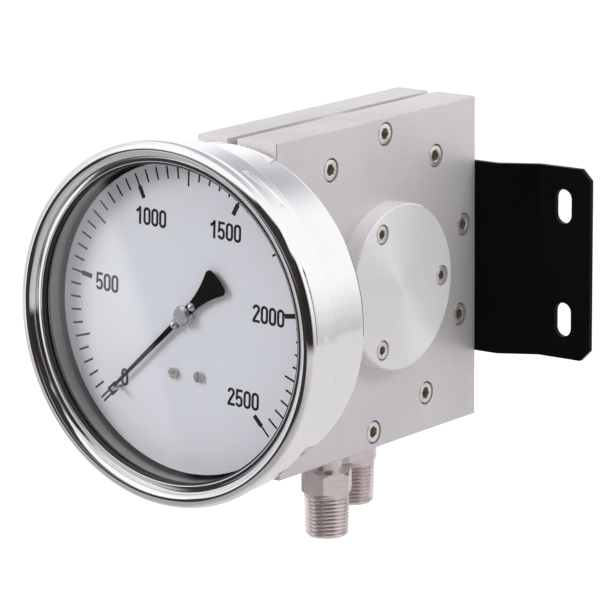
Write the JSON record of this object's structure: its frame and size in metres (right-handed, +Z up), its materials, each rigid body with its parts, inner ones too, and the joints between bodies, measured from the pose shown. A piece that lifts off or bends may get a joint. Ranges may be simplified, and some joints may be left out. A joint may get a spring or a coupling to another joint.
{
  "type": "differential pressure gauge",
  "caption": "Wall-mounted dial gauge for pressure difference: round bayonet-bezel dial head on a bolted diaphragm block with threaded ports below and a folded bracket behind.",
  "frame": {"origin": "in the wall plane at the rear faces of the bracket's feet, midway between the wall slots", "axes": "+X to the right as the dial is read, +Y into the wall, +Z up; the dial faces -Y"},
  "size_m": [0.1669, 0.2197, 0.1995],
  "materials": {
    "machined_steel": "satin machined stainless steel",
    "polished_steel": "mirror polished stainless steel",
    "bolt_steel": "bright stainless fasteners",
    "turned_steel": "turned stainless steel",
    "inner_steel": "plain stainless steel",
    "pointer_silver": "bright nickel plated",
    "black_paint": "satin black paint",
    "black_zinc": "black plated",
    "rubber": "black rubber",
    "window": "clear flat glass",
    "dial_white": "white enamel with black print",
    "pointer_black": "matt black paint",
    "brass": "machined brass",
    "spring_bronze": "phosphor bronze strip"
  },
  "bodies": {
    "frame": {"bezel_ring": "polished_steel", "block_bolts": "bolt_steel", "block_nuts": "bolt_steel", "block_washers": "bolt_steel", "blowout_plug": "rubber", "bracket_screws": "black_zinc", "case_screws": "bolt_steel", "clamp_ring_left": "machined_steel", "clamp_ring_right": "machined_steel", "dial_plate": "dial_white", "dial_posts": "brass", "dial_screws": "pointer_silver", "diaphragm": "inner_steel", "front_port_nipple": "turned_steel", "gauge_case": "polished_steel", "hairspring": "spring_bronze", "hairspring_stud": "brass", "left_block": "machined_steel", "movement_front_plate": "brass", "movement_pillars": "brass", "movement_rear_plate": "brass", "movement_screws": "pointer_silver", "movement_stands": "brass", "rear_port_nipple": "turned_steel", "right_block": "machined_steel", "shaft_front_bush": "brass", "shaft_inner_bush": "brass", "shaft_seal": "rubber", "side_cover": "machined_steel", "side_cover_screws": "bolt_steel", "side_cover_seal": "rubber", "stand_screws": "pointer_silver", "wall_bracket": "black_paint", "window_gasket": "rubber", "window_glass": "window", "zero_stop_pin": "inner_steel"},
    "pointer": {"pointer_blade": "pointer_black", "pointer_hub": "pointer_silver", "pointer_rivets": "pointer_silver", "pinion_arbor": "inner_steel"},
    "sector": {"sector_gear": "brass", "sector_arbor": "inner_steel", "sector_tail": "brass", "tail_pin": "inner_steel"},
    "torque_shaft": {"torque_shaft": "inner_steel", "inner_lever": "inner_steel", "lever_pin": "inner_steel", "output_arm": "inner_steel", "arm_pin": "inner_steel"},
    "link": {"drive_link": "inner_steel"},
    "diaphragm_centre": {"centre_disc_right": "inner_steel", "centre_disc_left": "inner_steel", "centre_stud": "inner_steel", "stud_nut": "inner_steel"}
  },
  "joints": [
    {"name": "pointer_turn", "type": "hinge", "parent": "frame", "child": "pointer", "pos_m": [-0.0025, -0.2042, 0.0028], "axis": [0, 1, 0], "range_deg": [0, 270], "stiffness_Nm_per_rad": 0.0008, "deforming": ["hairspring"]},
    {"name": "sector_swing", "type": "hinge", "parent": "frame", "child": "sector", "pos_m": [-0.03154, -0.1862, -0.00471], "axis": [0, 1, 0], "range_deg": [-30, 0]},
    {"name": "shaft_turn", "type": "hinge", "parent": "frame", "child": "torque_shaft", "pos_m": [0.009, -0.1742, 0.014], "axis": [0, 1, 0], "range_deg": [-8.2, 0]},
    {"name": "link_swing", "type": "hinge", "parent": "torque_shaft", "child": "link", "pos_m": [0.00717, -0.1762, -0.01153], "axis": [0, 1, 0], "range_deg": [0, 8.2]},
    {"name": "diaphragm_travel", "type": "slide", "parent": "frame", "child": "diaphragm_centre", "axis": [1, 0, 0], "range_m": [0, 0.002], "deforming": ["diaphragm"]}
  ],
  "couplings": [
    {"joint": "pointer_turn", "follows": "diaphragm_travel", "rad_per_m": 2356.2},
    {"joint": "sector_swing", "follows": "diaphragm_travel", "rad_per_m": -261.8},
    {"joint": "shaft_turn", "follows": "diaphragm_travel", "rad_per_m": -71.489},
    {"joint": "link_swing", "follows": "diaphragm_travel", "rad_per_m": 71.489}
  ]
}
